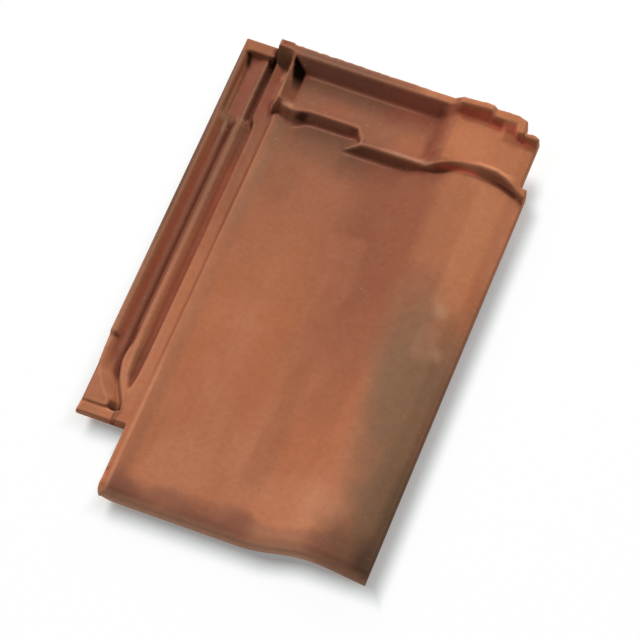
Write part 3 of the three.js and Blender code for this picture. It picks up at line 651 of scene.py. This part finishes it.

# the kiln's flashes on the water course, with some painted shade and light, each as its tint, its strength
# and where it lies
slant = askew(my, 0.18, mx)
slope_y = askew(x, 0.3, y)
colour = layered(colour, [
    ((160, 98, 68), 0.9, (my, 215, 275), (mx, 205, 175)),                           # browner head half
    ((148, 94, 69), 0.9, (mx, 56, 66, 135, 190), (my, 262, 352)),                   # haze below the bars
    ((124, 80, 58), 0.9, (mx, 50, 64, 165, 195), (my, 328, 364)),                   # its darker head end
    ((108, 68, 50), 0.7, (mx, 108, 122, 150, 168), (my, 330, 362)),                 # and below the gap
    ((138, 81, 58), 0.95, (mx, 126, 158, 196, 226), (my, 124, 252)),                # red band by the roll
    ((166, 103, 70), 0.85, (mx, 200, 222, 262, 278), (my, 268, 312, 368, 380)),     # orange crest
    ((148, 96, 70), 0.9, (mx, 196, 212, 240, 262), (my, 170, 200, 258, 300)),       # dull above the olive
    ((132, 97, 72), 0.95, (slant, 232, 264), (my, 272, 190), (mx, 200, 222, 262, 290)),     # olive flash
    ((104, 77, 54), 0.85, (slant, 250, 282), (my, 140, 50)),                        # its darker foot end
    ((150, 90, 62), 0.45, (x, 144, 157, 165, 180), (my, 36, 60, 180, 240)),         # red foot of the roll
    ((150, 90, 62), 0.28, (mx, 50, 66, 128, 146), (my, 185, 230, 330, 358)),        # faint red on the flat
    ((122, 80, 58), 0.3, (mx, 56, 62, 84, 96), (my, 296, 316, 350, 366)),           # dusky left corner
    ((136, 82, 60), 0.35, (mx, 166, 180, 200, 216), (my, 92, 140, 196, 240)),       # tail of the red band
    ((174, 110, 78), 0.3, (mx, 136, 144, 162, 172), (my, 200, 222, 284, 300)),      # pale left of it
    ((96, 56, 40), 0.22, (mx, 132, 144, 164, 176), (y, 340, 356, 368, 374)),        # shade by the bar
    ((138, 84, 58), 0.3, (x, 198, 208, 222, 236), (y, 250, 276, 352, 374)),         # painted shade on the roll's rise
    ((200, 130, 90), 0.4, (x, 234, 243, 258, 267), (y, 234, 256, 366, 377)),        # painted light past its crest
    ((130, 78, 54), 0.27, (x, 198, 207, 222, 232), (y, 168, 204, 266, 286)),        # dull at mid length
    ((104, 72, 46), 0.28, (x, 254, 260, 264, 269), (y, 70, 92, 226, 250)),          # dark by the free edge
    ((194, 138, 112), 0.17, (x, 234, 241, 251, 257), (y, 188, 202, 220, 236)),      # pale in the olive
    ((200, 118, 82), 0.13, (x, 228, 238, 247, 255), (y, 66, 82, 102, 122)),         # orange in the olive
    ((181, 115, 81), 0.75, (mx, 160, 178, 220, 242), (my, 10, 24, 44, 74)),         # pale arc by the foot
    ((204, 150, 118), 0.16, (mx, 202, 214, 232, 246), (my, 20, 30, 46, 70)),        # its brightest part
    ((206, 160, 130), 0.34, (x, 238, 248, 248.5, 258), (slope_y, 305, 316, 317, 330)),      # a pale spot
    ((200, 152, 124), 0.26, (x, 250, 258.5, 259, 267), (slope_y, 273, 282, 283, 293)),      # and another
    ((137, 86, 65), 0.9, (my, -4, 8, 12, 28)),                                      # brown foot band
    ((168, 113, 84), 0.7, (mx, 166, 184, 214, 230), (my, 28, 12)),                  # paler below the arc
    ((112, 68, 48), 0.6, (mx, 50, 58, 70, 84), (my, 32, 14)),                       # foot's left corner
    ((112, 68, 52), 0.28, (x, 106, 122, 158, 184), (y, 5, 9, 19, 28)),              # middle of the foot
    ((44, 30, 23), 0.45, (x, 262, 271), (y, 34, 20)),                               # nearly black corner
    ((112, 75, 54), 0.85, (mx, 212, 250), (my, 56, 18)),                            # brown toe of the roll
    ((66, 45, 34), 0.9, (x, 252, 268), (my, 46, 20)),                               # and its dark end
    ((82, 58, 41), 0.66, (x, 264, 272), (my, 345, 80)),                             # the free edge
    ((138, 78, 50), 0.75, (x, 46.5, 48.5, 50.5, 52.5), (y, 60, 160, 366, 378)),     # margin's outer side
    ((190, 100, 64), 0.6, (x, 43, 45, 48.5, 50.5), (y, 24, 18)),                    # margin's bright foot
    ((142, 108, 84), 0.34, (x, 50.5, 52.5, 60, 67), (y, 230, 280, 372, 378)),       # grey on the margin
    ((104, 76, 56), 0.36, (x, 49, 51, 57, 68), (y, 322, 362, 373, 378)),            # painted shade below the beak
])
colour = over(colour, (196, 146, 118), 0.9, (y, 6.5, -0.5), rise(x, 215, 250, 1.0, 0.6))    # the nose: painted light against its shade

# and on the head: a brown floor at the lock's side, a red flank, a bright roll, a brown rim
head_part = both(rise(y, 374, 380), rise(x, 48, 51))
near_rim = both(head_part, span(y, 394, 416, 419, 421))
down_line = askew(x, 0.45, y)
step_line = askew(x, -0.13, y)
colour = layered(colour, [
    ((143, 90, 66), 0.9, head_part, (mx, 190, 165)),                                # the head floor
    ((164, 97, 66), 0.6, head_part, (mx, 150, 165, 178, 184), (my, 402, 385)),      # oranger by the flank
    ((136, 87, 64), 0.7, head_part, (mx, 120, 70)),                                 # duller at the left
    ((158, 74, 50), 0.22, (x, 80, 94, 106, 118), (y, 388, 392, 398, 404)),          # red behind the bar
    ((96, 61, 44), 0.8, near_rim, (mx, 172, 140)),                                  # dark before the rib
    ((124, 62, 45), 0.7, near_rim, (mx, 128, 150, 178, 184)),                       # redder on the right
    ((136, 82, 64), 0.85, (x, 62, 66, 180, 192), (y, 419, 421, 428.5, 430)),        # the rib's inner wall
    ((164, 86, 66), 0.6, (x, 115, 160, 180, 190), (y, 418, 420, 428.5, 430)),       # redder on the right
    ((139, 76, 56), 0.95, head_part, (x, 180, 188, 194, 199)),                      # the red flank
    ((178, 110, 74), 0.9, head_part, (x, 196, 201)),                                # the bright roll
    ((122, 84, 66), 0.85, (y, 427, 430), (mx, 150, 110)),                           # the rib's brown left
    ((204, 136, 92), 0.45, (x, 150, 170, 190, 196), (y, 428.5, 430.5)),             # its bright right
    ((168, 92, 64), 0.5, (x, 49.5, 51, 61, 63), (y, 388.5, 391, 397, 404)),         # foot of the bank
    ((190, 136, 108), 0.45, (x, 48.5, 50, 62, 66), (y, 382.4, 384, 387, 389)),      # painted highlight on the beak's top
    ((100, 64, 46), 0.7, (x, 66, 78, 116, 128), (y, 356, 374, 380, 382)),           # painted shade below the left bar
    ((104, 64, 44), 0.5, (down_line, 398.6, 400.4, 401.4, 402.6), (x, 50, 53, 62, 68)),     # painted shade line at the ledge's foot
    ((138, 90, 60), 0.35, (x, 125, 129, 133, 137), (y, 376, 380, 384, 388)),        # the gap's right side
    ((146, 86, 56), 0.45, (step_line, 376.2, 377.6), (x, 240, 241.4), (y, 420, 417)),       # by the steps
])

# the lock: browner towards the head, greyer ribs, and a fair floor in the side groove
colour = layered(colour, [
    ((160, 97, 66), 0.6, (mx, 56, 46), (my, 120, 220)),                             # browner from mid length
    ((132, 82, 60), 0.95, (mx, 10, 20, 46, 56), (my, 205, 345)),                    # more so by the head
    ((150, 92, 62), 0.32, (x, 1, 4, 18, 22), (y, 64, 66, 94, 104)),                 # the shelf
    ((112, 84, 70), 0.8, (x, 5.4, 2.8), (y, 70, 200)),                              # the grey outer rib
    ((84, 60, 50), 0.8, (x, 4, 1), (y, 215, 300)),                                  # darker to the head
    ((142, 100, 74), 0.9, (x, 10.8, 12, 13.2, 14.6), (y, 130, 170, 350, 362)),      # main groove's left lip
    ((108, 60, 43), 0.68, (x, 16, 17.5, 21.5, 23.5), (y, 110, 150, 362, 370)),      # its right wall
    ((114, 78, 60), 0.75, (x, 18, 21, 25, 27), (y, 190, 300, 426, 430)),            # the grey inner rib
    ((150, 82, 56), 0.7, (x, 34.6, 35.6, 38, 40), (y, 96, 120, 352, 366)),          # the land's red edge
    ((152, 94, 72), 0.6, (x, 20.5, 22.8, 25, 27), (y, 120, 160, 200, 300)),         # inner rib, lower half
    ((132, 70, 52), 0.75, (x, 34, 36, 40, 43), (y, 350, 384)),                      # red land by the head
    ((150, 96, 74), 0.5, (x, 40, 43, 48, 51), (y, 374, 386, 404, 412)),             # paler beside the bank
    ((128, 72, 55), 0.85, (x, 10.5, 12.5, 20.5, 22.5), (y, 364, 372)),              # the pocket's floor
])

# painted shade in the hollows: redder and darker
colour = layered(colour, [
    ((112, 56, 40), 0.9, (shaded_hollows, 0.04, 0.55)),                                    # painted shade in every hollow
    ((150, 82, 57), 0.55, (x, 26.5, 29, 34, 36.2), (y, 115, 180, 310, 350)),        # side groove's floor
    ((122, 62, 40), 0.34, (x, 31.5, 33, 36, 38.5), (y, 150, 200, 330, 350)),        # its right side
    ((122, 86, 58), 0.35, (x, 25, 28, 31, 33), (y, 98, 110, 125, 160)),             # its pointed foot end
    ((116, 72, 52), 0.6, (x, 29, 31.5, 37.5, 39), (y, 320, 345, 366, 372)),         # its head end
    ((168, 112, 88), 0.42, (x, 10.6, 11.8, 13.2, 14.6), (y, 110, 130, 356, 364)),   # main groove's lip
    ((172, 86, 64), 0.5, (x, 6, 8, 10.4, 11.4), (y, 100, 130, 300, 360)),           # red slope left of it
    ((104, 40, 28), 0.6, (x, 17, 18.5, 21, 23), (y, 133, 138, 150, 156)),           # red spot in its wall
    ((96, 40, 28), 0.85, (x, 30.8, 32.2, 34.6, 36.2), (y, 62, 64, 75, 80)),         # foot of the outlet
    ((196, 92, 69), 0.85, red_light_on_walls),                                                   # painted reddish light on walls in shade
])

# painted highlights on edges, with some wear; then the fine lines of the lock and the head, and painted shade
# in the corners
colour = over(colour, (190, 130, 98), 0.4, sheen_on_edges, rise(x, 272, 266, 0.2, 1.0))
colour = layered(colour, [
    ((204, 136, 102), 0.45, (x, 50.6, 51.8, 52.8, 54), (y, 150, 100)),              # painted highlight on the margin's crest
    ((128, 72, 48), 0.5, (x, 48, 48.8, 50, 51.2), (y, 110, 200, 366, 378)),         # brown beside it
    ((110, 56, 36), 0.4, (x, 46.6, 48.2, 50.2, 51.4), (y, 230, 280, 368, 378)),     # darker to the head
    ((116, 92, 62), 0.65, (x, 31.4, 33, 41, 44), (y, 424.5, 426.5, 430.5, 432)),    # left end of the rib
    ((122, 66, 44), 0.5, (x, 35, 35.8, 37.6, 38.8), (y, 110, 130, 330, 350)),       # the land's edge
    ((70, 50, 41), 0.57, (x, 5, 1.2), (y, 190, 268)),                               # the outer rib, darker towards the head
    ((190, 136, 110), 0.2, (x, 0.6, 1.6, 2.6, 4), (y, 330, 390)),                   # painted highlight on its crest
    ((84, 50, 38), 0.33, (x, 6.5, 7.6, 10, 11.4), (y, 404, 412, 424, 428)),         # painted shade in the pocket's corner
    ((152, 122, 98), 0.36, (x, 10.4, 11.2, 12.8, 13.8), (y, 325, 345, 362, 372)),   # main groove's lip
    ((70, 44, 32), 0.48, (x, 48.6, 49.8, 51.4, 52.6), (y, 388, 413, 424, 427)),     # the bank's top edge
    ((146, 116, 88), 0.34, (x, 3, 4.4, 10.5, 12.5), (y, 368, 372, 388, 400)),       # the pocket's slope
    ((172, 130, 100), 0.5, (x, 4.5, 6, 15.5, 18.5), (y, 361, 365, 367.5, 370.5)),   # the step to it
    ((168, 128, 100), 0.55, (x, 9.4, 10.8, 12.8, 14), (y, 350, 359, 363, 366)),     # where the lip ends
    ((108, 76, 50), 0.38, (x, 22.8, 24, 27, 28), (y, 346, 354, 364, 368)),          # inner rib's right side
    ((160, 122, 92), 0.6, (x, 24.2, 25.4, 28, 29.4), (y, 365.5, 368, 371, 374)),    # pale spot at its end
    ((156, 116, 88), 0.45, (x, 24.6, 25.4, 26.4, 27.4), (y, 370, 374, 424, 428)),   # and by the pocket
    ((140, 96, 70), 0.3, (x, 28.6, 29.6, 30.6, 31.6), (y, 336, 350, 364, 367)),     # side groove, head end
    ((68, 28, 14), 0.42, (x, 16.6, 17.6, 18.8, 20), (y, 336, 350, 362.5, 364.5)),   # main groove's wall
    ((134, 82, 59), 0.65, (x, 5.6, 3), (y, 70, 76, 100, 130)),                      # outer rib's foot
    ((184, 116, 78), 0.6, (x, 249, 250.5, 256, 258), (y, 416, 418, 430, 433)),      # the rib's low step
    ((204, 140, 104), 0.4, (x, 226, 238, 258, 268), (y, 377.5, 379, 381, 383)),     # painted highlight on the right bar's edge
    ((176, 128, 104), 0.35, pale_highlight_lines),                                                  # painted highlight lines by the bars and the rib
    ((150, 95, 65), 0.9, (y, 428, 431), (x, 26, 24)),                               # the pad
    ((196, 134, 104), 0.45, (x, 40, 43, 47, 49), (y, 408, 416, 426, 428)),          # painted light on the bank's left side, against the rib's shadow
    ((14, 8, 5), 1.0, shaded_corners_grime),                                                       # painted shade in corners and grooves, with grime
])

# the underside stays plain; fine mottle, dark grit and pale specks everywhere, and a sanded grain
colour = mixed(outside, plain, colour)
mottle = rise(cloud(5, 3), 0.3, 0.7, 0.96, 1.04)
colour = add("ShaderNodeVectorMath", {0: colour, "Scale": mottle}, operation="SCALE")
colour = over(colour, (96, 62, 46), 0.5, (cloud(1.6, 1), 0.7, 0.78))
colour = over(colour, (206, 152, 118), 0.25, (cloud(2.3, 1), 0.71, 0.79))
tree.links.new(colour, shader.inputs["Base Color"])
tree.links.new(rise(cloud(12, 4), 0.3, 0.7, 0.76, 0.9), shader.inputs["Roughness"])
tree.links.new(rise(shaded_corners_grime, 0, 1, 0.18, 0.0), shader.inputs["Specular IOR Level"])
grain = askew(cloud(0.9, 3), 0.5, cloud(4, 2))
bump = add("ShaderNodeBump", {"Height": grain, "Strength": 0.5, "Distance": 0.0003})
tree.links.new(bump, shader.inputs["Normal"])
mesh.materials.append(clay)

# THE FLOOR. A plain pale studio sheet, on which the tile's shadow shows.
# It is not part of the tile, and its sizes are in metres from the tile's middle.
bpy.ops.mesh.primitive_plane_add(size=8)
floor = bpy.context.object
floor.name = "studio_floor"
paper = bpy.data.materials.new("studio_paper")
paper.use_nodes = True
tree = paper.node_tree
white = tree.nodes["Principled BSDF"]
white.inputs["Base Color"].default_value = (0.95, 0.95, 0.95, 1)
white.inputs["Roughness"].default_value = 0.9
white.inputs["Specular IOR Level"].default_value = 0.0
seen = add("ShaderNodeLightPath", {}, "Is Camera Ray")
on_sheet = add("ShaderNodeTexCoord", {}, "Object")
floor_x, floor_y, _ = parted(on_sheet)
half_wide, half_long = wide / 2000, long / 2000
fade_aside, fade_along, at_edge, plainest = 0.0175, 0.0155, 0.22, 0.97


def beyond(low, high):
    """How plain the sheet is past a block of the floor, by how far a place lies beside and along it."""
    low = add("ShaderNodeCombineXYZ", {"X": low[0], "Y": low[1], "Z": -1})
    high = add("ShaderNodeCombineXYZ", {"X": high[0], "Y": high[1], "Z": 1})
    short = add("ShaderNodeVectorMath", {0: low, 1: on_sheet}, operation="SUBTRACT")
    past = add("ShaderNodeVectorMath", {0: on_sheet, 1: high}, operation="SUBTRACT")
    aside, along, _ = parted(add("ShaderNodeVectorMath", {0: short, 1: past}, operation="MAXIMUM"))
    return worked("MAXIMUM", rise(aside, 0, fade_aside, at_edge, plainest),
                  rise(along, -fade_along, fade_along, 0, plainest))


# the shadow shows close to the body and the lock; farther out a painted glow makes the sheet plain white to
# the lens
foot_line = rise(floor_x, 0.046, 0.088, -half_long, -0.2141)
edge_line = rise(floor_y, 0.154, 0.174, half_wide, 0.1312)
past_body = beyond((-0.0875, foot_line), (edge_line, half_long))
past_lock = beyond((-half_wide, (lock_foot - long / 2) / 1000), (-0.09, half_long))
clear = worked("MINIMUM", past_body, past_lock)
# the painted glow is tinted cool near the tile, and turns white farther out
cool_glow_tint = mixed(rise(clear, 0.6, 0.95), (0.955, 1, 0.985, 1), (1, 1, 1, 1))
glow = add("ShaderNodeEmission", {"Color": cool_glow_tint, "Strength": 1.0})
unshaded = both(seen, clear)
sheet_mix = add("ShaderNodeMixShader", {0: unshaded, 1: white.outputs[0], 2: glow})
tree.links.new(sheet_mix, tree.nodes["Material Output"].inputs["Surface"])
floor.data.materials.append(paper)

# THE LIGHT. A soft lamp beyond the head and to the lock's side, a weaker and wider one beyond the
# head, and a dim even room. What the lens sees of the room is plain white.
warm = (1.0, 0.985, 0.965)
for name, hung_at, power, width in (
        ("key", (-1.7, 2.05, 3.15), 142, 1.25),
        ("fill", (0.5, 2.95, 2.1), 50, 1.8)):
    lamp = bpy.data.lights.new(name, "AREA")
    lamp.energy, lamp.size, lamp.color = power, width, warm
    hung = bpy.data.objects.new(name, lamp)
    hung.location = hung_at
    hung.rotation_euler = (-Vector(hung_at)).to_track_quat("-Z", "Y").to_euler()
    bpy.context.collection.objects.link(hung)
world = bpy.data.worlds.new("studio")
world.use_nodes = True
tree = world.node_tree
background = tree.nodes["Background"]
room_light = 0.22
rays = add("ShaderNodeLightPath", {}).node.outputs
mirrored = worked("MAXIMUM", rays["Is Glossy Ray"], rays["Is Transmission Ray"])
direct = worked("MAXIMUM", rays["Is Camera Ray"], mirrored)
tree.links.new(rise(direct, 0, 1, room_light, 1.0), background.inputs["Strength"])
tree.links.new(mixed(direct, (0.93, 0.98, 1, 1), (1, 1, 1, 1)), background.inputs["Color"])
bpy.context.scene.world = world

# THE CAMERA. A long lens from above the foot, turned a little to the roll's side.
# It faces a point beside the tile's middle, so that the middle shows a little off the centre.
azimuth, elevation, distance = math.radians(21.219), math.radians(61.192), 2.9953
frame_px, focal_px, shown_x, shown_y = 640, 3650.6, 303.928, 305.066
middle, level = Vector((0, 0, 0.020)), math.cos(elevation)
back_v = Vector((math.sin(azimuth) * level, -math.cos(azimuth) * level, math.sin(elevation)))
right_v = Vector((math.cos(azimuth), math.sin(azimuth), 0))
up_v = back_v.cross(right_v)
eye = middle + distance * back_v
off_x, off_y = [(frame_px / 2 - at) * distance / focal_px for at in (shown_x, shown_y)]
aim = middle + off_x * right_v - off_y * up_v
view = (eye - aim).normalized()
side = (right_v - right_v.dot(view) * view).normalized()
lens = bpy.data.cameras.new("camera")
lens.sensor_width = 36
lens.lens = focal_px / frame_px * 36
camera = bpy.data.objects.new("camera", lens)
turn = Matrix((side, view.cross(side), view)).transposed()
camera.matrix_world = Matrix.Translation(eye) @ turn.to_4x4()
bpy.context.collection.objects.link(camera)
bpy.context.scene.camera = camera
bpy.context.scene.view_settings.view_transform = "Standard"
